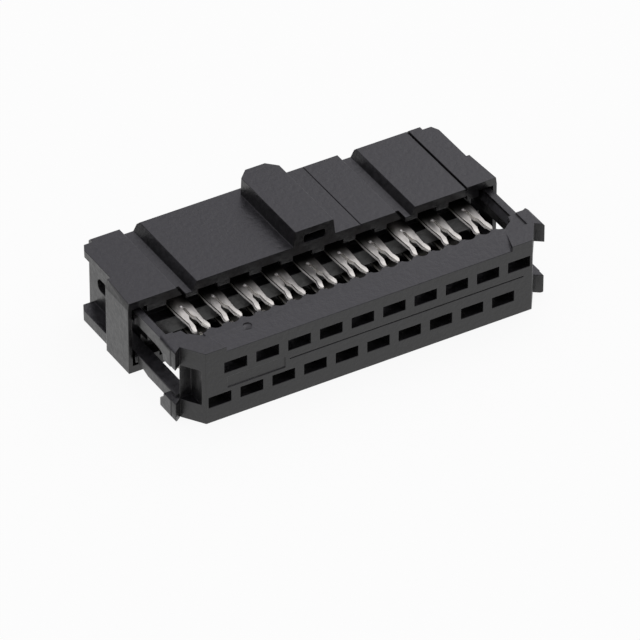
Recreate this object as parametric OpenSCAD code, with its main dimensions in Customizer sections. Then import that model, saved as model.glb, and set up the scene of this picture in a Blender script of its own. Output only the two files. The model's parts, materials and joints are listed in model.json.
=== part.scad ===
// Ribbon cable socket: a keyed housing, two rows of insulation piercing contacts and a press-on cover.
// It lies on its long side, key up, with the cover still open for a cable.
// X runs along the rows, Y from the cover to the mating face, Z up from the side it rests on.
// The resting side is at Z = 0 and the socket is centred on X and Y.

/* [Contact grid] */
// Contacts in each of the two rows
ways = 10; // [7:1:17]
// Spacing of the contacts along a row
pitch = 2.54; // [2.5:0.02:3]
// Spacing of the two rows
row_pitch = 2.54; // [2.3:0.02:2.7]
// Square post that the contacts are made for
post_size = 0.64; // [0.5:0.02:0.7]

/* [Housing] */
// Height of the housing without its key
housing_height = 6; // [5.8:0.1:7]
// Depth from the front edge of the side plates to the mating face
housing_depth = 8.3; // [7.8:0.1:10]
// Distance from the last contact to the end wall
end_margin = 2.02; // [1.9:0.02:2.6]
// Thickness of the two side plates at the front edge
plate_thick = 1.12; // [0.9:0.02:1.2]
// Thickness of the rib between the rows
rib_thick = 1.34; // [0.8:0.02:1.4]
// Set-back of the contact wall behind the plates and the rib
wall_setback = 1; // [0.4:0.05:1.2]
// Width of the notch that each contact has under its plate
notch_width = 1.54; // [1:0.02:1.9]
// Height of that notch
notch_height = 0.37; // [0.1:0.01:0.5]
// Shift of that notch from the post towards the fork
notch_shift = 0.3; // [0:0.05:0.6]
// Wall between the contact cavities and the mating face
face_wall = 0.8; // [0.6:0.05:1.2]
// Chamfer along the two long edges of the mating face
face_chamfer = 0.25; // [0.1:0.05:0.4]
// Depth of the square funnel round each post hole
funnel_depth = 0.35; // [0.1:0.05:0.5]

/* [Key and top side] */
// Width of the key along its top
key_width = 3.1; // [2.6:0.1:3.4]
// Height of the key above the top side
key_height = 1.25; // [0.8:0.05:1.6]
// Draft of each side of the key
key_draft = 0.15; // [0:0.01:0.2]
// Cut corners at the mating end of the key
key_corner = 0.9; // [0.3:0.1:1.2]
// Width of the pocket in the front of the key
key_pocket_width = 1.75; // [1:0.05:2.2]
// Height of that pocket
key_pocket_height = 0.68; // [0.45:0.01:0.75]
// Depth of that pocket
key_pocket_depth = 1.5; // [0.5:0.1:4]
// Width of the two long grooves where they meet the top side
groove_width = 1.65; // [1.2:0.05:1.9]
// Width of their floors
groove_floor = 0.8; // [0.4:0.05:1]
// Depth of the two long grooves
groove_depth = 0.75; // [0.3:0.05:0.9]
// Distance of the left groove from the left end wall
groove_left = 3.17; // [2:0.01:3.4]
// Distance of the right groove from the right end wall
groove_right = 6.02; // [4.5:0.02:6.2]
// Drop of the panel between the right groove and the right end
panel_drop = 0.1; // [0.05:0.01:0.2]
// Distance of that panel from the right end wall
panel_end = 0.97; // [0.8:0.01:1.4]
// Distance of the fine moulding line from the middle of the key
seam_x = 3.68; // [2.6:0.02:4.5]

/* [Latch loops] */
// Reach of a loop beyond the end wall
loop_reach = 1.5; // [1.4:0.05:2.1]
// Length of a loop along the arm that runs through it
loop_length = 3.35; // [2.5:0.05:4.5]
// Radius of the corner at the mating end of a loop
loop_round = 0.2; // [0.05:0.05:0.25]
// Thickness of the strap that closes the loop
strap_thick = 0.32; // [0.25:0.01:0.4]
// Width of the bevel on top of the strap, at the mating end
bevel_back = 0.25; // [0.05:0.01:0.3]
// Width of that bevel at the cover end
bevel_front = 0.07; // [0.05:0.01:0.3]
// Drop of that bevel down the outside of the strap
strap_drop = 0.55; // [0.1:0.05:0.8]
// Thickness of the lip over the loop
lip_thick = 0.6; // [0.4:0.05:0.7]
// Reach of the lip behind the loop
lip_reach = 1; // [0.6:0.05:1.2]
// Thickness of the floor under the loop
floor_thick = 0.6; // [0.5:0.05:0.7]
// Thickness of the flange behind the loop
flange_thick = 0.88; // [0.6:0.02:0.9]
// Reach of that flange
flange_reach = 1.15; // [0.6:0.05:1.3]

/* [Cover] */
// Depth of the cover bar from its front to the lands between the wires
cover_depth = 2.5; // [2.2:0.1:3.5]
// Open space between the cover and the plates
open_gap = 5.2; // [4.9:0.1:6]
// How far the cover has been pressed on
pressed = 0; // [0:0.1:4]
// How far the cover can be pressed on
full_press = 4; // [3:0.1:4]
// Depth of the grooves that hold the wires
wire_depth = 0.25; // [0.1:0.01:0.35]
// Radius of those grooves
wire_radius = 0.5; // [0.45:0.01:0.58]
// Length of a contact slot in the cover
slot_length = 1.81; // [1.6:0.01:1.9]
// Height of a contact slot in the cover
slot_height = 0.89; // [0.6:0.01:1.1]
// Depth of the sloped ends of the cover, seen from above
end_slope_depth = 1.6; // [0.8:0.1:1.7]
// Depth of the bevel along the upper front edge
bevel_depth = 1.58; // [0.8:0.02:1.8]
// Drop of that bevel at the front face
bevel_drop = 0.36; // [0.1:0.02:0.5]
// Reach of the hooks beyond the end wall
hook_reach = 1.5; // [1.1:0.01:1.55]
// Height of the gap between the two hooks of an end
hook_gap = 2.9; // [2.86:0.02:3.4]
// Radius along the outer edge of a hook
hook_round = 0.3; // [0.1:0.05:0.5]
// Thickness of the wall left between the two hooks of an end
end_wall = 0.35; // [0.25:0.05:0.5]

/* [Cover arms] */
// Length of the arms behind the cover bar
arm_length = 8.5; // [7.5:0.1:8.9]
// Height of an arm
arm_height = 0.96; // [0.6:0.02:1]
// Width of the rib along the outside of an arm
arm_rib = 0.55; // [0.4:0.01:0.7]
// Play between an arm and the strap
arm_play = 0.2; // [0.1:0.01:0.25]
// Play between an arm and the end wall
wall_play = 0.05; // [0.03:0.01:0.1]
// Play between a lower arm and the flange
flange_play = 0.1; // [0.05:0.01:0.15]
// Height of the barb that holds the cover open
barb_height = 0.5; // [0.3:0.05:0.6]

/* [Contacts] */
// Thickness of the stamped sheet
sheet = 0.32; // [0.2:0.01:0.4]
// Thickness of the coined fork tips
tip_thick = 0.18; // [0.1:0.01:0.2]
// Width of the fork at its root
fork_width = 1.4; // [1.3:0.01:1.45]
// Width of the fork at its waist, behind the tips
fork_waist = 1.15; // [1:0.01:1.25]
// Reach of the fork tips in front of the plates
fork_reach = 3.18; // [3:0.02:3.7]
// Width of the straight part of the fork slot
fork_slot = 0.55; // [0.4:0.01:0.6]
// Width of the slit that grips the wire
fork_slit = 0.2; // [0.06:0.01:0.25]
// Width of the spring that grips the post
spring_width = 1.5; // [1.3:0.02:1.6]
// Play between a contact and its seat in the housing
seat_play = 0.02; // [0.01:0.01:0.05]

/* [Hidden] */
$fn = 32;
eps = 0.01;
far = 60;
bite = 0.3;
first = -(ways - 1) * pitch / 2;
stagger = pitch / 4;
row_z = row_pitch / 2;
half_len = -first + end_margin;
top_z = housing_height / 2;
plate_y = -housing_depth;
wall_y = plate_y + wall_setback;
loop_back = plate_y + loop_length;
loop_x = half_len + loop_reach;
strap_in = loop_x - strap_thick;
land_y = plate_y - open_gap;
overall_depth = housing_depth + open_gap + cover_depth;

// Mating ends of the lip and the flange, with their cut corners
ledge_y = -0.6;
ledge_cut = 0.3;
ledge_cut_length = 0.6;

// Blind pocket in an end wall
pocket_y = -2.4;
pocket_z = -0.15;
pocket_radius = 0.5;
pocket_length = 2.4;
pocket_depth = 0.5;

// Line cut along the right edge of the low panel
panel_line = 0.1;
panel_line_depth = 0.25;

// Pocket in the key and moulding line beside it
key_pocket_lift = 0.06;
key_pocket_radius = 0.2;
seam_width = 0.1;
seam_depth = 0.08;
seam_margin = 0.2;

// Contact stations, from the fork tips to the mating end
tip_y = plate_y - fork_reach;
foot_y = tip_y + 0.22;
ankle_y = tip_y + 0.42;
flare_y = tip_y + 0.68;
waist_y = tip_y + 0.95;
step_y = tip_y + 1.43;
slit_y = tip_y + 1.78;
root_y = tip_y + 2.73;
bead_y = root_y + 0.2;
tooth_root = wall_y + 0.05;
tooth_y = wall_y + 0.2;
seat_y = wall_y + 0.3;
neck_y = wall_y + 1.3;
cavity_y = wall_y + 1.5;
crotch_y = neck_y + 0.9;
spring_y = -face_wall - 0.25;
pinch_y = spring_y - 0.6;
taper_y = spring_y - 1.3;

// Contact details across the sheet
tip_in = 0.14;
foot_in = 0.1;
tooth = 0.03;
bead_radius = 0.16;
bead_height = 0.07;
bead_shift = 0.08;
post_room = 0.04;
post_grip = 0.05;
mouth = 0.14;
spring_taper = 0.12;
cavity_width = spring_width + 0.25;
cavity_height = 1;
post_hole = post_size + 0.26;

// Cover stations, measured from the lands
cover_front = half_len - 0.28;
cover_end = half_len + 0.82;
bevel_end = half_len - 1.95;
bevel_slant = 0.3;
bevel_flare = 0.45;
wall_back = -0.4;
wall_slant = 0.25;
end_open = half_len - 0.1;
block_in = half_len - 0.95;
ramp_x = half_len - 0.4;
ramp_y = 0.36;
block_x = half_len - 0.25;
block_back = 0.92;
hook_x = half_len + hook_reach;
hook_front = -1.3;
hook_root = -0.84;
hook_back = 1.05;
hook_corner = 0.25;
hook_step = 0.06;
hook_step_y = -0.66;
shoulder_in = half_len - 1.35;
shoulder_out = half_len + 0.39;
shoulder_y = -0.64;
shoulder_drop = 0.12;
heel_y = 0.3;
heel_rise = 0.4;
toe_rise = 0.85;

// Arm stations, measured from the lands
arm_out = strap_in - arm_play;
arm_in = half_len + wall_play;
arm_low = hook_gap / 2 - 0.16;
arm_top = arm_low + arm_height;
// The lower arms are slimmer where they slide over the flange
arm_slim = top_z - flange_thick - flange_play;
slim_y = open_gap + loop_length - bite - full_press;
slim_slope = 0.8;
arm_step = 0.15;
arm_sag = 0.25;
arm_root = -0.5;
arm_nose = 0.3;
arm_nose_length = 0.6;
barb_x = strap_in - 0.03;
barb_front = open_gap - 0.38;
barb_back = open_gap - 0.04;
barb_crest = 0.12;
barb_lift = 0.12;

// Shallow field, moulding line and gate mark on the cover
mark_depth = 0.08;
field_x = 2 - half_len;
field_length = 4.6;
field_z = -0.5;
field_height = 0.92;
line_x = 6.95 - half_len;
line_end = half_len - 1;
line_z = 0.09;
line_width = 0.07;
gate_x = 4.44 - half_len;
gate_y = 1.47;
gate_radius = 0.32;
gate_depth = 0.1;

upper_names = [for (i = [1 : ways]) str("contact_upper_", i < 10 ? "0" : "", i)];
lower_names = [for (i = [1 : ways]) str("contact_lower_", i < 10 ? "0" : "", i)];

// Moves a piece from the drawing origin, in the middle of the mating face, to its place
module place() {
    translate([0, overall_depth / 2, top_z]) children();
}

// Draws its children for both ends
module both_ends() {
    children();
    mirror([1, 0, 0]) children();
}

// Draws its children for the upper row, then turned half round for the lower row
module both_rows() {
    children();
    rotate([0, 180, 0]) children();
}

// Plan outline drawn from z0 up to z1
module plan(z0, z1) {
    translate([0, 0, z0]) linear_extrude(z1 - z0) children();
}

// Side outline, drawn in Y and Z, from x0 to x1
module side(x0, x1) {
    translate([x0, 0, 0]) rotate([90, 0, 90]) linear_extrude(x1 - x0) children();
}

// End outline, drawn in X and Z, from y0 to y1
module run(y0, y1) {
    translate([0, y1, 0]) rotate([90, 0, 0]) linear_extrude(y1 - y0) children();
}

// Upright bars at every contact of a row, crossed with a bar along each row
module grid(width, height, y0, y1) {
    intersection() {
        for (i = [0 : ways - 1])
            translate([first + i * pitch - width / 2, y0, -top_z])
                cube([width, y1 - y0, housing_height]);
        for (z = [-row_z, row_z])
            translate([-far, y0, z - height / 2])
                cube([2 * far, y1 - y0, height]);
    }
}

// Square funnels round the post holes, crossed from two sets of wedges
module funnels() {
    w = post_hole / 2;
    m = w + funnel_depth;
    wedge = [[-w, -funnel_depth], [w, -funnel_depth], [m + eps, eps], [-m - eps, eps]];
    intersection() {
        for (i = [0 : ways - 1])
            translate([first + i * pitch, 0, 0]) plan(-top_z, top_z) polygon(wedge);
        for (z = [-row_z, row_z])
            translate([0, 0, z])
                side(-half_len, half_len) polygon([for (p = wedge) [p[1], p[0]]]);
    }
}

// Core block between the end walls, chamfered along the mating face
module core() {
    c = face_chamfer;
    side(-half_len, half_len)
        polygon([[wall_y, -top_z], [-c, -top_z], [0, c - top_z],
                 [0, top_z - c], [-c, top_z], [wall_y, top_z]]);
}

// Side plates that stand in front of the contact wall, and the rib between the rows
module plates() {
    both_rows()
        translate([-half_len, plate_y, top_z - plate_thick])
            cube([2 * half_len, wall_setback + eps, plate_thick]);
    translate([-half_len, plate_y, -rib_thick / 2])
        cube([2 * half_len, wall_setback + eps, rib_thick]);
}

// Notches under the front edge of a plate, one over each contact
module notches() {
    x0 = first + notch_shift - notch_width / 2;
    for (i = [0 : ways - 1])
        translate([x0 + i * pitch, plate_y - eps, top_z - plate_thick - eps])
            cube([notch_width, wall_setback + eps, notch_height + eps]);
}

// Latch loop of the right end, with the lip above it and the flange behind it
module loop() {
    in = half_len - bite;
    lip = half_len + lip_reach;
    flange = half_len + flange_reach;
    cut_y = ledge_y - ledge_cut_length;
    plan(top_z - lip_thick, top_z)
        polygon([[in, plate_y], [loop_x, plate_y], [loop_x, loop_back], [lip, loop_back],
                 [lip, cut_y], [lip - ledge_cut, ledge_y], [in, ledge_y]]);
    plan(-top_z, floor_thick - top_z)
        polygon([[in, plate_y], [loop_x, plate_y], [loop_x, loop_back], [in, loop_back]]);
    plan(-top_z, flange_thick - top_z)
        polygon([[in, loop_back - bite], [flange, loop_back - bite], [flange, cut_y],
                 [flange - ledge_cut, ledge_y], [in, ledge_y]]);
    translate([strap_in, plate_y, -top_z])
        cube([strap_thick, loop_length, housing_height]);
}

// Cutter that rounds the mating corner of the right loop
module loop_corner() {
    r = loop_round;
    translate([loop_x - r, loop_back - r, 0])
        plan(-far, far)
            difference() {
                square(r + 1);
                circle(r);
            }
}

// End section of the wedge taken off the top of the right strap
module bevel_section(y, width) {
    run(y - eps, y + eps)
        polygon([[loop_x - width, top_z], [loop_x, top_z - strap_drop], [loop_x + 1, top_z - strap_drop],
                 [loop_x + 1, top_z + 1], [loop_x - width, top_z + 1]]);
}

// That wedge, wider at the mating end
module strap_bevel() {
    hull() {
        bevel_section(plate_y, bevel_front);
        bevel_section(loop_back, bevel_back);
    }
}

// Keying rib on the top side
module key() {
    w = key_width / 2;
    b = w + key_draft;
    intersection() {
        run(plate_y, 0)
            polygon([[-b, top_z - bite], [b, top_z - bite], [b, top_z], [w, top_z + key_height],
                     [-w, top_z + key_height], [-b, top_z]]);
        plan(0, far)
            polygon([[-b, plate_y], [b, plate_y], [b, -key_corner], [b - key_corner, 0],
                     [key_corner - b, 0], [-b, -key_corner]]);
    }
}

// Pocket with round corners in the front of the key
module key_pocket() {
    w = key_pocket_width;
    h = key_pocket_height;
    r = key_pocket_radius;
    run(plate_y - 1, plate_y + key_pocket_depth)
        translate([-w / 2, top_z + key_pocket_lift]) {
            translate([r, 0]) square([w - 2 * r, h]);
            translate([0, r]) square([w, h - 2 * r]);
            for (x = [r, w - r], z = [r, h - r])
                translate([x, z]) circle(r);
        }
}

// Long groove along the top side
module top_groove(x) {
    d = groove_depth;
    flank = (groove_width - groove_floor) / 2 / d;
    m = groove_floor / 2 + flank * (d + eps);
    translate([x, 0, top_z])
        run(plate_y - 1, 1)
            polygon([[-groove_floor / 2, -d], [groove_floor / 2, -d], [m, eps], [-m, eps]]);
}

// Panel that drops a little between the right groove and the right end, with a line along its edge
module low_panel() {
    x0 = half_len - groove_right;
    x1 = half_len - panel_end;
    z0 = top_z - panel_drop;
    translate([x0, plate_y - 1, z0]) cube([x1 - x0, far, 1]);
    translate([x1 - panel_line, plate_y - 1, z0 - panel_line_depth]) cube([panel_line, far, 1]);
}

// Fine moulding line that runs back from the front edge of the top side
module seam() {
    translate([seam_x, plate_y - 1, top_z - seam_depth])
        cube([seam_width, housing_depth + 1 - seam_margin, 1]);
}

// Blind pocket in the end wall behind the loop
module end_pocket() {
    r = pocket_radius;
    straight = pocket_length - 2 * r;
    translate([0, pocket_y, pocket_z])
        side(half_len - pocket_depth, half_len + 1) {
            translate([-straight / 2, -r]) square([straight, 2 * r]);
            translate([-straight / 2, 0]) circle(r);
            translate([straight / 2, 0]) circle(r);
        }
}

// Seat of one contact in the upper row: the contact's own neck with a little play
module seat() {
    f = fork_width / 2 + seat_play + tooth;
    s = spring_width / 2 + seat_play;
    plan(-sheet / 2 - seat_play, sheet / 2 + seat_play)
        polygon([[stagger - f, wall_y - eps], [stagger + f, wall_y - eps], [stagger + f, seat_y],
                 [s, neck_y], [s, cavity_y + eps], [-s, cavity_y + eps], [-s, neck_y],
                 [stagger - f, seat_y]]);
}

module housing() {
    color("#242427")
        place()
            difference() {
                union() {
                    core();
                    plates();
                    key();
                    both_ends() loop();
                }
                grid(cavity_width, cavity_height, cavity_y, -face_wall);
                grid(post_hole, post_hole, -face_wall - eps, eps);
                funnels();
                both_rows() {
                    notches();
                    for (i = [0 : ways - 1])
                        translate([first + i * pitch, 0, row_z]) seat();
                }
                top_groove(groove_left - half_len);
                top_groove(half_len - groove_right);
                low_panel();
                seam();
                key_pocket();
                both_ends() {
                    end_pocket();
                    loop_corner();
                    strap_bevel();
                }
            }
}

// Cover bar as seen from above
module bar_outline() {
    y1 = end_slope_depth - cover_depth;
    polygon([[-cover_front, -cover_depth], [cover_front, -cover_depth], [cover_end, y1],
             [cover_end, 0], [-cover_end, 0], [-cover_end, y1]]);
}

// Cover bar with its open ends: a thin wall is left between the hooks
module cover_bar() {
    wall_front = wall_back - end_wall;
    difference() {
        plan(-top_z, top_z) bar_outline();
        both_ends()
            plan(-hook_gap / 2, hook_gap / 2)
                polygon([[end_open, -far], [far, -far], [far, far], [end_open, far], [end_open, wall_back],
                         [cover_end - wall_slant, wall_back], [cover_end, wall_front],
                         [end_open, wall_front]]);
    }
}

// Upper strain hook of the right end, with the block that joins it to the bar
module hook() {
    low = hook_gap / 2;
    step_x = hook_x - hook_step;
    r = hook_round;
    intersection() {
        plan(low, top_z)
            polygon([[block_in, hook_root], [block_in, 0], [ramp_x, ramp_y],
                     [block_x, block_back], [hook_x - 2 * hook_corner, block_back],
                     [hook_x - hook_corner, hook_back], [hook_x, hook_back - hook_corner],
                     [hook_x, hook_step_y], [step_x, hook_step_y - hook_step],
                     [step_x, hook_front], [cover_end, hook_root]]);
        side(0, far)
            polygon([[-far, low], [heel_y, low], [heel_y + hook_step, low + heel_rise],
                     [hook_back, low + toe_rise], [far, low + toe_rise], [far, far], [-far, far]]);
        run(-far, far) {
            square([hook_x, top_z - r]);
            square([hook_x - r, top_z]);
            translate([hook_x - r, top_z - r]) circle(r);
        }
    }
}

// Low shoulder of the right end, between the bar and the upper hook
module shoulder() {
    translate([shoulder_in, shoulder_y, top_z - shoulder_drop])
        cube([shoulder_out - shoulder_in, far, 1]);
}

// Upper latch arm of the right end, with its height near the free end and a barb that holds it
module arm(end_top) {
    y1 = arm_length;
    rib_in = arm_out - arm_rib;
    intersection() {
        plan(0, top_z)
            polygon([[0, arm_root], [arm_out, arm_root], [arm_out, y1 - arm_nose_length],
                     [arm_out - arm_nose, y1], [0, y1]]);
        side(-far, far)
            polygon([[-far, -far], [far, -far], [far, end_top], [slim_y, end_top],
                     [slim_y - slim_slope, arm_top], [-far, arm_top]]);
        run(-far, far)
            polygon([[far, arm_low], [far, far], [rib_in, far], [rib_in, arm_top - arm_step],
                     [arm_in, arm_top - arm_step - rib_in + arm_in], [arm_in, arm_low - arm_sag],
                     [arm_out, arm_low]]);
    }
    plan(arm_low + barb_lift, arm_low + barb_lift + barb_height)
        polygon([[arm_out - bite, barb_front], [barb_x, barb_front],
                 [barb_x, barb_front + barb_crest], [arm_out, barb_back], [arm_out - bite, barb_back]]);
}

// Wedge taken off the upper front edge of the cover, with slanted ends
module front_bevel() {
    y0 = -cover_depth;
    y1 = y0 + bevel_depth;
    k = bevel_drop / bevel_depth;
    x0 = bevel_end - bevel_slant;
    x1 = bevel_end + bevel_flare;
    intersection() {
        side(-half_len, half_len)
            polygon([[y0 - 1, top_z - bevel_drop - k], [y1, top_z], [y1, top_z + 1],
                     [y0 - 1, top_z + 1]]);
        plan(0, far)
            polygon([[-x0, y0 - 1], [x0, y0 - 1], [x1, y1], [-x1, y1]]);
    }
}

// Slots that the fork tips pass through
module slots() {
    x0 = first + stagger - slot_length / 2;
    for (i = [0 : ways - 1])
        both_rows()
            translate([x0 + i * pitch, -far / 2, row_z - slot_height / 2])
                cube([slot_length, far, slot_height]);
}

// Grooves for the wires of the ribbon
module wire_grooves() {
    for (i = [0 : 2 * ways - 1])
        translate([first - stagger + i * pitch / 2, wire_radius - wire_depth, -far / 2])
            cylinder(r = wire_radius, h = far);
}

// Shallow field and moulding line on the front of the cover, gate mark on top
module cover_marks() {
    y0 = -cover_depth - 1;
    d = 1 + mark_depth;
    translate([field_x, y0, field_z]) cube([field_length, d, field_height]);
    translate([line_x, y0, line_z]) cube([line_end - line_x, d, line_width]);
    translate([gate_x, gate_y - cover_depth, top_z - gate_depth]) cylinder(r = gate_radius, h = 1);
}

module cover() {
    color("#2b2b2f")
        place()
            translate([0, land_y + pressed, 0])
                difference() {
                    union() {
                        cover_bar();
                        both_ends() both_rows() hook();
                        both_ends() {
                            arm(arm_top);
                            rotate([0, 180, 0]) arm(arm_slim);
                        }
                    }
                    both_ends() both_rows() shoulder();
                    slots();
                    wire_grooves();
                    front_bevel();
                    cover_marks();
                }
}

// Right half of the fork, from its root round a tine to the slit
function tine(h, w, g, s) = [
    [h, root_y], [w, waist_y], [h, ankle_y], [h, foot_y], [h - foot_in, tip_y],
    [h - foot_in - tip_in, tip_y], [g, flare_y], [g, step_y], [s, slit_y], [s, root_y]
];

// Right half of the neck and the spring, from the fork to the crotch round the post
function tail(f, h, o, p) = [
    [p, crotch_y], [p - post_room - post_grip, pinch_y], [p - post_grip + mouth, spring_y],
    [o - spring_taper, spring_y], [o, taper_y], [o, neck_y], [f + h, seat_y],
    [f + h + tooth, tooth_y], [f + h, tooth_root]
];

// Contact of the upper row, drawn round the post axis: fork, neck, then the spring for the post
module contact() {
    h = fork_width / 2;
    o = spring_width / 2;
    p = post_size / 2 + post_room;
    right = tine(h, fork_waist / 2, fork_slot / 2, fork_slit / 2);
    rear = tail(stagger, h, o, p);
    left_rear = tail(-stagger, h, o, p);
    n = len(right) - 1;
    m = len(rear) - 1;
    outline = concat(
        rear,
        [for (q = right) [stagger + q[0], q[1]]],
        [for (i = [0 : n]) [stagger - right[n - i][0], right[n - i][1]]],
        [for (i = [0 : m]) [-left_rear[m - i][0], left_rear[m - i][1]]]
    );
    t = sheet / 2;
    intersection() {
        plan(-t, t) polygon(outline);
        side(-far, far)
            polygon([[tip_y - eps, -tip_thick / 2], [flare_y, -t - eps], [0, -t - eps], [0, t + eps],
                     [flare_y, t + eps], [tip_y - eps, tip_thick / 2]]);
    }
    // Coined bead at the end of the slit
    translate([stagger - bead_shift, bead_y, t - eps])
        cylinder(r1 = bead_radius, r2 = bead_radius / 2, h = bead_height + eps);
}

module contact_upper(i) {
    color("#c9c3bd") place() translate([first + i * pitch, 0, row_z]) contact();
}

module contact_lower(i) {
    color("#c9c3bd") place() translate([first + i * pitch, 0, -row_z]) rotate([0, 180, 0]) contact();
}

housing();
cover();
for (i = [0 : ways - 1]) {
    contact_upper(i);
    contact_lower(i);
}
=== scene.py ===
# %% [markdown]
# # A ribbon cable socket, dressed for a studio photograph
#
# The part is a small connector: a black keyed housing, two rows of stamped metal forks
# and a black cover that waits to be pressed on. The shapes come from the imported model,
# which stays where it is. This lesson gives each surface its finish, rounds the edges,
# and sets up a camera, a floor and soft light. All lengths are in metres.

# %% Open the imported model
import json
import math

import bpy
from mathutils import Matrix, Vector

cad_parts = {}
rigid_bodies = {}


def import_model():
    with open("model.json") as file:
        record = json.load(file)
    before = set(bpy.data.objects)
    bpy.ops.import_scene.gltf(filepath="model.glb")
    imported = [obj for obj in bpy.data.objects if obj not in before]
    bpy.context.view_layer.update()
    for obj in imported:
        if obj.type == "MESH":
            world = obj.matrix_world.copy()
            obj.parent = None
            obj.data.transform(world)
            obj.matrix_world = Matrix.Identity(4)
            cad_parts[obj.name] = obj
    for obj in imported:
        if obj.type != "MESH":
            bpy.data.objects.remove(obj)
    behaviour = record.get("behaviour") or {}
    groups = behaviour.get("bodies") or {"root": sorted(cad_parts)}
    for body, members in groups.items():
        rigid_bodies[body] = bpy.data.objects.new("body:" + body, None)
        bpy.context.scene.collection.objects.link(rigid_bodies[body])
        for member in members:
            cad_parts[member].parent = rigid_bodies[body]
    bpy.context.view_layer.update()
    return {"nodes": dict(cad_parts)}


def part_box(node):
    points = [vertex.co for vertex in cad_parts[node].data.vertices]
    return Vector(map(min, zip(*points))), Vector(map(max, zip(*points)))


for leftover in list(bpy.data.objects):
    bpy.data.objects.remove(leftover)
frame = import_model()
nodes = frame["nodes"]

# %% [markdown]
# ## Small helpers for node graphs
#
# Light and materials in Blender are graphs of nodes. Adding nodes one by one takes many
# lines, so a few helpers do the wiring. In all of them a value is either a plain number
# or a socket of another node.

# %% Helpers that add nodes
# A Mix node repeats the names of its slots for numbers, vectors and colours, so the
# slots for colours are picked by their places.
MIX_SHARE, MIX_FIRST, MIX_SECOND = 0, 6, 7
MIX_RESULT = 2


def plug(tree, slot, value):
    """Links a socket to a slot, or else sets the slot to a plain value."""
    if isinstance(value, bpy.types.NodeSocket):
        tree.links.new(value, slot)
    else:
        slot.default_value = value


def new_node(tree, kind, plugs=None, **settings):
    """Adds a node, sets its properties and fills the sockets that plugs names."""
    made = tree.nodes.new(kind)
    for name, value in settings.items():
        setattr(made, name, value)
    for name, value in (plugs or {}).items():
        plug(tree, made.inputs[name], value)
    return made


def calc(tree, operation, *values, kind="ShaderNodeMath", result=0):
    """Adds a Math or Vector Math node and returns its result."""
    made = new_node(tree, kind, operation=operation)
    for slot, value in zip(made.inputs, values):
        plug(tree, slot, value)
    return made.outputs[result]


def ease(tree, value, start, end, low, high):
    """Moves softly from low to high while the value goes from start to end."""
    made = new_node(tree, "ShaderNodeMapRange", interpolation_type="SMOOTHSTEP", plugs={
        "Value": value, "From Min": start, "From Max": end,
        "To Min": low, "To Max": high})
    return made.outputs["Result"]


def blend(tree, share, first, second):
    """Mixes two colours and returns the result."""
    made = new_node(tree, "ShaderNodeMix", data_type="RGBA")
    for slot, value in ((MIX_SHARE, share), (MIX_FIRST, first), (MIX_SECOND, second)):
        plug(tree, made.inputs[slot], value)
    return made.outputs[MIX_RESULT]


print("node helpers ready")

# %% [markdown]
# ## Starting points
#
# A material starts as one Principled shader on an output. An effect that several
# materials share starts as a node group: its inputs carry what differs from one material
# to the next, and its outputs are plain numbers.

# %% Helpers that start an object, a material or a group
def new_object(name, data):
    """Puts an object with this data into the scene."""
    made = bpy.data.objects.new(name, data)
    bpy.context.scene.collection.objects.link(made)
    return made


def new_material(name):
    """An empty material with a Principled shader on its output."""
    material = bpy.data.materials.new(name)
    material.use_nodes = True
    tree = material.node_tree
    tree.nodes.clear()
    shader = tree.nodes.new("ShaderNodeBsdfPrincipled")
    output = tree.nodes.new("ShaderNodeOutputMaterial")
    tree.links.new(shader.outputs["BSDF"], output.inputs["Surface"])
    return material, tree, shader


def new_group(name, inputs, outputs):
    """An empty node group. Inputs are (name, kind, value), outputs are names."""
    group = bpy.data.node_groups.new(name, "ShaderNodeTree")
    sockets = group.interface
    for label, kind, value in inputs:
        made = sockets.new_socket(label, in_out="INPUT", socket_type=kind)
        made.default_value = value
    for label in outputs:
        sockets.new_socket(label, in_out="OUTPUT", socket_type="NodeSocketFloat")
    return group, group.nodes.new("NodeGroupInput"), group.nodes.new("NodeGroupOutput")


print("starting points ready")

# %% [markdown]
# ## Camera
#
# The photograph was taken from far away with a long lens, so its lines stay almost
# parallel. A camera can be placed by hand and nudged until it fits. Here it is worked out
# instead: the direction it looks from, the lens, and the one pixel of the picture where
# the middle of the cover's front face has to land. The Standard view leaves the colours
# as the light makes them.

# %% Place the camera
IMAGE_PX = 640
SENSOR_MM = 36.0
AZIMUTH = math.radians(-30.46)
ELEVATION = math.radians(36.55)
FOCAL_PX = 7627.6
PX_PER_METRE = 14416.8  # at the front face of the cover
FACE_MIDDLE_PX = (370.77, 331.49)
CLIP_RANGE = (0.01, 20.0)

cover_low, cover_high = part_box("cover")
middle_plane = (cover_low.z + cover_high.z) / 2
face_middle = Vector((0.0, cover_low.y, middle_plane))
back = Vector((
    math.sin(AZIMUTH) * math.cos(ELEVATION),
    -math.cos(AZIMUTH) * math.cos(ELEVATION),
    math.sin(ELEVATION),
))
right = Vector((math.cos(AZIMUTH), math.sin(AZIMUTH), 0.0))
up = back.cross(right)
distance = FOCAL_PX / PX_PER_METRE
aside = (FACE_MIDDLE_PX[0] - IMAGE_PX / 2) / PX_PER_METRE
below = (FACE_MIDDLE_PX[1] - IMAGE_PX / 2) / PX_PER_METRE

camera_data = bpy.data.cameras.new("product_camera")
camera_data.sensor_width = SENSOR_MM
camera_data.lens = FOCAL_PX / IMAGE_PX * SENSOR_MM
camera_data.clip_start, camera_data.clip_end = CLIP_RANGE
camera = new_object("product_camera", camera_data)
turn = Matrix((right, up, back)).transposed().to_4x4()
stand = face_middle + back * distance - right * aside + up * below
camera.matrix_world = Matrix.Translation(stand) @ turn
bpy.context.scene.camera = camera
bpy.context.scene.view_settings.view_transform = "Standard"
print("camera", round(distance, 3), "m away, lens", round(camera_data.lens, 1), "mm")

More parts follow.
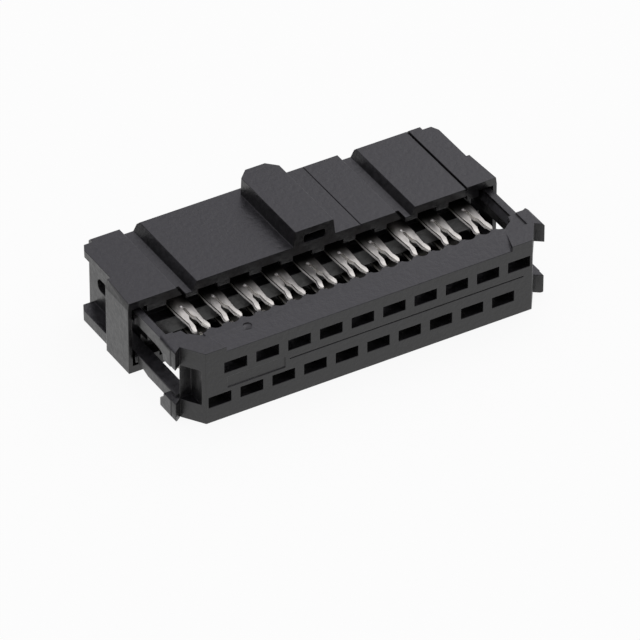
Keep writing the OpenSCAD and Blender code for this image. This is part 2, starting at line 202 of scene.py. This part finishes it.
# %% [markdown]
# ## Light tent
#
# Black plastic shows hardly any colour of its own. What the eye reads is the room that it
# mirrors, brighter where a face is seen at a shallow angle. Lamps alone would leave most
# faces empty, so the socket stands in a light tent: a faintly violet world that is bright
# overhead and dimmer towards the horizon. Two sides of the tent are dimmed further. One
# is at the back left, which makes the walls that face left nearly black. The other is
# round the camera, which keeps the roots of the forks in shade.

# %% Build the light tent
TENT_COLOUR = (0.985, 0.96, 1.06, 1.0)
TENT_CURVE = ((0.0, 0.45), (0.58, 0.72), (0.86, 1.25), (1.0, 1.25))  # height, light
MOST_LIGHT = 2.0
# Each dim side: its direction, the cosines where it begins and is full, the light left
DIM_SIDES = (
    (Vector((-0.66, 0.69, 0.22)).normalized(), (0.70, 0.95), 0.5),
    (Vector((-0.41, -0.69, 0.60)).normalized(), (0.35, 0.75), 0.35),
)

world = bpy.data.worlds.new("light_tent")
bpy.context.scene.world = world
world.use_nodes = True
sky = world.node_tree
tent = sky.nodes["Background"]
tent.inputs["Color"].default_value = TENT_COLOUR
direction = new_node(sky, "ShaderNodeTexCoord").outputs["Generated"]
axes = new_node(sky, "ShaderNodeSeparateXYZ", plugs={"Vector": direction})
glow = new_node(sky, "ShaderNodeFloatCurve", plugs={"Value": axes.outputs["Z"]})
curve = glow.mapping
curve.clip_max_y = MOST_LIGHT
curve.curves[0].points[0].location = TENT_CURVE[0]
curve.curves[0].points[1].location = TENT_CURVE[-1]
for point in TENT_CURVE[1:-1]:
    curve.curves[0].points.new(*point)
curve.update()
strength = glow.outputs["Value"]
for towards, cosines, light_left in DIM_SIDES:
    facing = calc(sky, "DOT_PRODUCT", direction, towards,
                  kind="ShaderNodeVectorMath", result="Value")
    dimmed = ease(sky, facing, *cosines, 1.0, light_left)
    strength = calc(sky, "MULTIPLY", strength, dimmed)
plug(sky, tent.inputs["Strength"], strength)
print("tent with", len(sky.nodes), "nodes")

# %% [markdown]
# ## Two soft lamps
#
# The tent alone leaves the top of the housing one even grey. Two softboxes stand in it,
# as in a studio. One at the back right shades the top from left to right, and a slightly
# weaker one at the left catches the edges. Glowing panels would do the same, but area
# lamps give less noise.

# %% Hang the lamps
LAMP_SIDE = 0.3
LAMPS = {  # watts, place
    "back_lamp": (0.19, Vector((0.28, 0.16, 0.21))),
    "edge_lamp": (0.15, Vector((-0.35, -0.10, 0.22))),
}

for name, (watts, place) in LAMPS.items():
    lamp_data = bpy.data.lights.new(name, "AREA")
    lamp_data.energy = watts
    lamp_data.size = LAMP_SIDE
    lamp = new_object(name, lamp_data)
    lamp.location = place
    lamp.rotation_euler = (-place).to_track_quat("-Z", "Y").to_euler()
print("lamps:", list(LAMPS))

# %% [markdown]
# ## White floor
#
# The socket lies on white paper that is lit until it hardly shows a shadow. More light
# would wash out the plastic, so the paper glows instead. The camera sees mostly that
# plain white, and so do the plastic and the metal that mirror the floor. The small rest
# is lit paper, with a trace of the shade beside the socket. For soft light that bounces
# off it, the floor is paper alone.

# %% Lay the floor
FLOOR_SIDE = 6.0
FLOOR_GAP = 0.00002
PAPER_COLOUR = (0.955, 0.965, 0.90, 1.0)
PAPER_GLOW = 1.0
CAMERA_SHARE = 0.92
MIRROR_SHARE = 0.95

half = FLOOR_SIDE / 2
corners = [(-half, -half), (half, -half), (half, half), (-half, half)]
floor_mesh = bpy.data.meshes.new("floor")
floor_mesh.from_pydata([(x, y, -FLOOR_GAP) for x, y in corners], [], [(0, 1, 2, 3)])
floor = new_object("floor", floor_mesh)

floor_material, floor_tree, floor_shader = new_material("white_paper")
floor_shader.inputs["Base Color"].default_value = PAPER_COLOUR
floor_shader.inputs["Roughness"].default_value = 1.0
floor_shader.inputs["Specular IOR Level"].default_value = 0.0
rays = new_node(floor_tree, "ShaderNodeLightPath").outputs
mirrored = calc(floor_tree, "MULTIPLY", rays["Is Glossy Ray"], MIRROR_SHARE)
share = calc(floor_tree, "MULTIPLY_ADD", rays["Is Camera Ray"], CAMERA_SHARE, mirrored)
paper_light = new_node(floor_tree, "ShaderNodeEmission", plugs={"Strength": PAPER_GLOW})
paper = new_node(floor_tree, "ShaderNodeMixShader", plugs={"Fac": share})
plug(floor_tree, paper.inputs[1], floor_shader.outputs["BSDF"])
plug(floor_tree, paper.inputs[2], paper_light.outputs["Emission"])
surface = floor_tree.nodes["Material Output"].inputs["Surface"]
plug(floor_tree, surface, paper.outputs["Shader"])
floor_mesh.materials.append(floor_material)
print("floor painted:", floor_material.name)

# %% [markdown]
# ## Spark grain
#
# The steel mould of such a part is spark-eroded, which leaves a fine matt grain on the
# plastic, and the glass fibres in it make the gloss wander a little from place to place.
# The grain could be modelled, but at a tenth of a millimetre it is far too fine. A node
# group makes it from two noises, so that both mouldings and the plated metal can use it
# with their own sizes: a coarse one for the cloud, and a fine one that rides on it.

# %% Build the grain group
WAVE_SHARE = 6.0  # how much higher the cloud's waves are than the grain
NOISE_DETAIL = {"Grain Size": 3.0, "Cloud Size": 4.0}
NOISE_ROUGHNESS = 0.6
CLOUD_RANGE = (0.38, 0.62)

grain, grain_in, grain_out = new_group(
    "spark_grain",
    [("Grain Size", "NodeSocketFloat", 0.0001), ("Cloud Size", "NodeSocketFloat", 0.003),
     ("Stretch", "NodeSocketVector", (1.0, 1.0, 1.0))],
    ["Height", "Cloud"])
spot = new_node(grain, "ShaderNodeTexCoord").outputs["Object"]
stretched = calc(grain, "MULTIPLY", spot, grain_in.outputs["Stretch"],
                 kind="ShaderNodeVectorMath")
noises = {}
for size, detail in NOISE_DETAIL.items():
    noises[size] = new_node(grain, "ShaderNodeTexNoise", plugs={
        "Vector": stretched, "Detail": detail, "Roughness": NOISE_ROUGHNESS,
        "Scale": calc(grain, "DIVIDE", 1.0, grain_in.outputs[size])}).outputs["Fac"]
cloud_noise = noises["Cloud Size"]
wave = calc(grain, "MULTIPLY_ADD", cloud_noise, WAVE_SHARE, noises["Grain Size"])
plug(grain, grain_out.inputs["Height"], wave)
plug(grain, grain_out.inputs["Cloud"], cloud_noise)


def cloud_tint(tree, cloud, tints):
    """Goes from the first tint to the second with the cloud of the grain group."""
    ramp = new_node(tree, "ShaderNodeValToRGB", plugs={"Fac": cloud})
    for stop, position, tint in zip(ramp.color_ramp.elements, CLOUD_RANGE, tints):
        stop.position = position
        stop.color = tint
    return ramp.outputs["Color"]


print("grain group:", len(grain.nodes), "nodes")

# %% [markdown]
# ## Black moulding
#
# The housing and the cover are the same glass-filled black plastic from two moulds. It is
# nearly black with a trace of violet, and its satin gloss carries the picture. The cloud
# of the grain group moves both the colour and the roughness a little, and its height
# feeds a shallow bump. A Bevel node bends the light along each edge as a wider rounding
# would, which draws thin light lines without one more face. Each moulding has a material
# of its own, so that it can be tinted by itself.

# %% Make the plastics
PLASTIC_COLOUR = (0.0083, 0.0081, 0.0087)
TINT_RANGE = (0.6, 1.4)
PLASTIC_TINTS = [(*[share * c for c in PLASTIC_COLOUR], 1.0) for share in TINT_RANGE]
PLASTIC_ROUGHNESS = 0.33
GLOSS_RANGE = 0.05
PLASTIC_IOR = 1.55
PLASTIC_GRAIN = 0.00011
PLASTIC_CLOUD = 0.0004
PLASTIC_BUMP = 0.000005
EDGE_SOFTNESS = 0.00007
EDGE_SAMPLES = 8


def black_moulding(name):
    """Satin black plastic with spark grain and softened edges."""
    material, tree, shader = new_material(name)
    group = new_node(tree, "ShaderNodeGroup", node_tree=grain, plugs={
        "Grain Size": PLASTIC_GRAIN, "Cloud Size": PLASTIC_CLOUD})
    cloud = group.outputs["Cloud"]
    plug(tree, shader.inputs["Base Color"], cloud_tint(tree, cloud, PLASTIC_TINTS))
    gloss = ease(tree, cloud, *CLOUD_RANGE,
                 PLASTIC_ROUGHNESS - GLOSS_RANGE, PLASTIC_ROUGHNESS + GLOSS_RANGE)
    plug(tree, shader.inputs["Roughness"], gloss)
    softened = new_node(tree, "ShaderNodeBevel", samples=EDGE_SAMPLES, plugs={
        "Radius": EDGE_SOFTNESS})
    bump = new_node(tree, "ShaderNodeBump", plugs={
        "Strength": 1.0, "Distance": PLASTIC_BUMP, "Height": group.outputs["Height"],
        "Normal": softened.outputs["Normal"]})
    plug(tree, shader.inputs["Normal"], bump.outputs["Normal"])
    shader.inputs["IOR"].default_value = PLASTIC_IOR
    return material


plastics = {piece: black_moulding(piece + "_plastic") for piece in ("housing", "cover")}
print("plastics:", [plastic.name for plastic in plastics.values()])

# %% [markdown]
# ## Stamped edge
#
# A punch leaves two bands on the cut side of a strip. It first shears the metal, and that
# band is smooth. Then the rest breaks away and stays rough and dull. Both bands are only
# a tenth or two of a millimetre high, so a node group finds them instead of more
# geometry: it takes the faces that stand upright and measures how deep a point lies below
# the outer face of its row.

# %% Build the edge group
OUTER_FACE = 0.5  # sheets from the plane of the row
UPRIGHT_TILT = (0.4, 0.7)
BAND_BLUR = 0.05  # sheets

edge, edge_in, edge_out = new_group(
    "stamped_edge",
    [("Middle", "NodeSocketFloat", 0.003), ("Row", "NodeSocketFloat", 0.00127),
     ("Sheet", "NodeSocketFloat", 0.00032), ("Shear", "NodeSocketFloat", 0.35)],
    ["Sheared", "Broken"])
spot = new_node(edge, "ShaderNodeTexCoord").outputs["Object"]
level = new_node(edge, "ShaderNodeSeparateXYZ", plugs={"Vector": spot}).outputs["Z"]
from_middle = calc(edge, "SUBTRACT", level, edge_in.outputs["Middle"])
off_middle = calc(edge, "ABSOLUTE", from_middle)
off_row = calc(edge, "SUBTRACT", off_middle, edge_in.outputs["Row"])
sheets_off = calc(edge, "DIVIDE", off_row, edge_in.outputs["Sheet"])
depth = calc(edge, "SUBTRACT", OUTER_FACE, sheets_off)
normal = new_node(edge, "ShaderNodeNewGeometry").outputs["Normal"]
tilt = new_node(edge, "ShaderNodeSeparateXYZ", plugs={"Vector": normal}).outputs["Z"]
upright = ease(edge, calc(edge, "ABSOLUTE", tilt), *UPRIGHT_TILT, 1.0, 0.0)
past_shear = calc(edge, "SUBTRACT", depth, edge_in.outputs["Shear"])
below_shear = ease(edge, past_shear, -BAND_BLUR, BAND_BLUR, 0.0, 1.0)
broken = calc(edge, "MULTIPLY", upright, below_shear)
plug(edge, edge_out.inputs["Broken"], broken)
plug(edge, edge_out.inputs["Sheared"], calc(edge, "SUBTRACT", upright, broken))
print("edge group:", len(edge.nodes), "nodes")

# %% [markdown]
# ## Plated fork
#
# The contacts are stamped from copper alloy strip and tin plated. Plating is satin: it
# mirrors the dark plate behind it and the white tent above it as a soft gradient. The
# strip was rolled, so the grain is pulled out along its length. The stamped edge makes
# the cut sides smooth near the outer face and dull below it. Towards the root the colour
# is painted darker, as painted shade that stands in for the shadow of the plate. The bead
# at the end of the slot gets a painted highlight. A lamp could pick it out, but it is the
# only form in sight that stands above the strip, so its height finds it.

# %% Make the plating
PLATING_GRAIN = 0.00006
PLATING_CLOUD = 0.0003
PLATING_STRETCH = (1.0, 0.3, 1.0)
PLATING_BUMP = 0.000001
PLATING_TINTS = ((0.57, 0.557, 0.505, 1.0), (0.75, 0.733, 0.665, 1.0))
PLATING_GLOSS = (0.40, 0.48)
# Painted shade: the forks turn dark towards the root, where the plate shades them.
ROOT_SHADE_TINT = (0.08, 0.075, 0.065, 1.0)
ROOT_SHADE_RANGE = (-0.0014, 0.0001)  # along the strip
# Painted highlight: the bead that stands above the strip turns near white.
BEAD_HIGHLIGHT_TINT = (0.95, 0.93, 0.87, 1.0)
BEAD_HIGHLIGHT_RANGE = (0.00144, 0.00147)  # from the plane between the rows
BROKEN_TINT = (0.90, 0.88, 0.84, 1.0)
BROKEN_ROUGHER = 0.35
SHEARED_SMOOTHER = -0.25


def tin_plating():
    """Satin tin on a stamped strip, with painted root shade and painted bead highlights.
    """
    material, tree, shader = new_material("tin_plating")
    group = new_node(tree, "ShaderNodeGroup", node_tree=grain, plugs={
        "Grain Size": PLATING_GRAIN, "Cloud Size": PLATING_CLOUD,
        "Stretch": PLATING_STRETCH})
    cut = new_node(tree, "ShaderNodeGroup", node_tree=edge, plugs={
        "Middle": middle_plane})
    cloud = group.outputs["Cloud"]
    tint = cloud_tint(tree, cloud, PLATING_TINTS)
    plated = blend(tree, cut.outputs["Broken"], tint, BROKEN_TINT)
    spot = new_node(tree, "ShaderNodeTexCoord").outputs["Object"]
    place = new_node(tree, "ShaderNodeSeparateXYZ", plugs={"Vector": spot})
    # Painted shade: darker towards the root of each fork, under the plate.
    root_shade = ease(tree, place.outputs["Y"], *ROOT_SHADE_RANGE, 0.0, 1.0)
    strip = blend(tree, root_shade, plated, ROOT_SHADE_TINT)
    from_middle = calc(tree, "SUBTRACT", place.outputs["Z"], middle_plane)
    # Painted highlight: near white where a point stands above the strip.
    bead_highlight = ease(tree, calc(tree, "ABSOLUTE", from_middle), *BEAD_HIGHLIGHT_RANGE, 0.0, 1.0)
    plug(tree, shader.inputs["Base Color"], blend(tree, bead_highlight, strip, BEAD_HIGHLIGHT_TINT))
    gloss = ease(tree, cloud, *CLOUD_RANGE, *PLATING_GLOSS)
    gloss = calc(tree, "MULTIPLY_ADD", cut.outputs["Broken"], BROKEN_ROUGHER, gloss)
    gloss = calc(tree, "MULTIPLY_ADD", cut.outputs["Sheared"], SHEARED_SMOOTHER, gloss)
    plug(tree, shader.inputs["Roughness"], gloss)
    metal = calc(tree, "SUBTRACT", 1.0, cut.outputs["Broken"])
    plug(tree, shader.inputs["Metallic"], metal)
    bump = new_node(tree, "ShaderNodeBump", plugs={
        "Strength": 1.0, "Distance": PLATING_BUMP, "Height": group.outputs["Height"]})
    plug(tree, shader.inputs["Normal"], bump.outputs["Normal"])
    return material


plating = tin_plating()
print("plating:", plating.name)

# %% [markdown]
# ## Rounded edges
#
# No moulded or stamped edge is truly sharp, and the thin bright line along it is what
# makes a small part look real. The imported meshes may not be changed, but modifiers may
# sit on them: Weld joins the split corners, Decimate joins the triangles of each flat
# face, Bevel rounds every edge that is sharper than a set angle, and Weighted Normal
# keeps the large faces flat.

# %% Round the edges
WELD_REACH = 0.000001
FLAT_ANGLE = math.radians(0.5)
SHARP_ANGLE = math.radians(12.0)
EDGE_RADIUS = 0.00002
EDGE_STEPS = 2


def round_edges(piece):
    """Stacks the modifiers that round the sharp edges of a piece."""
    weld = piece.modifiers.new("join_corners", "WELD")
    weld.merge_threshold = WELD_REACH
    flat = piece.modifiers.new("join_flat_faces", "DECIMATE")
    flat.decimate_type = "DISSOLVE"
    flat.angle_limit = FLAT_ANGLE
    bevel = piece.modifiers.new("round_edges", "BEVEL")
    bevel.width = EDGE_RADIUS
    bevel.segments = EDGE_STEPS
    bevel.limit_method = "ANGLE"
    bevel.angle_limit = SHARP_ANGLE
    bevel.use_clamp_overlap = False
    piece.modifiers.new("flat_faces", "WEIGHTED_NORMAL")


for piece in nodes.values():
    round_edges(piece)
print("rounded", len(nodes), "nodes")

# %% [markdown]
# ## Painting
#
# Each node takes one material for its whole surface, because each real piece is one
# material too. The two mouldings are known by name. All the other nodes are contacts.

# %% Paint the nodes
for name, piece in nodes.items():
    piece.data.materials.clear()
    piece.data.materials.append(plastics.get(name, plating))
print("painted", len(nodes), "nodes")
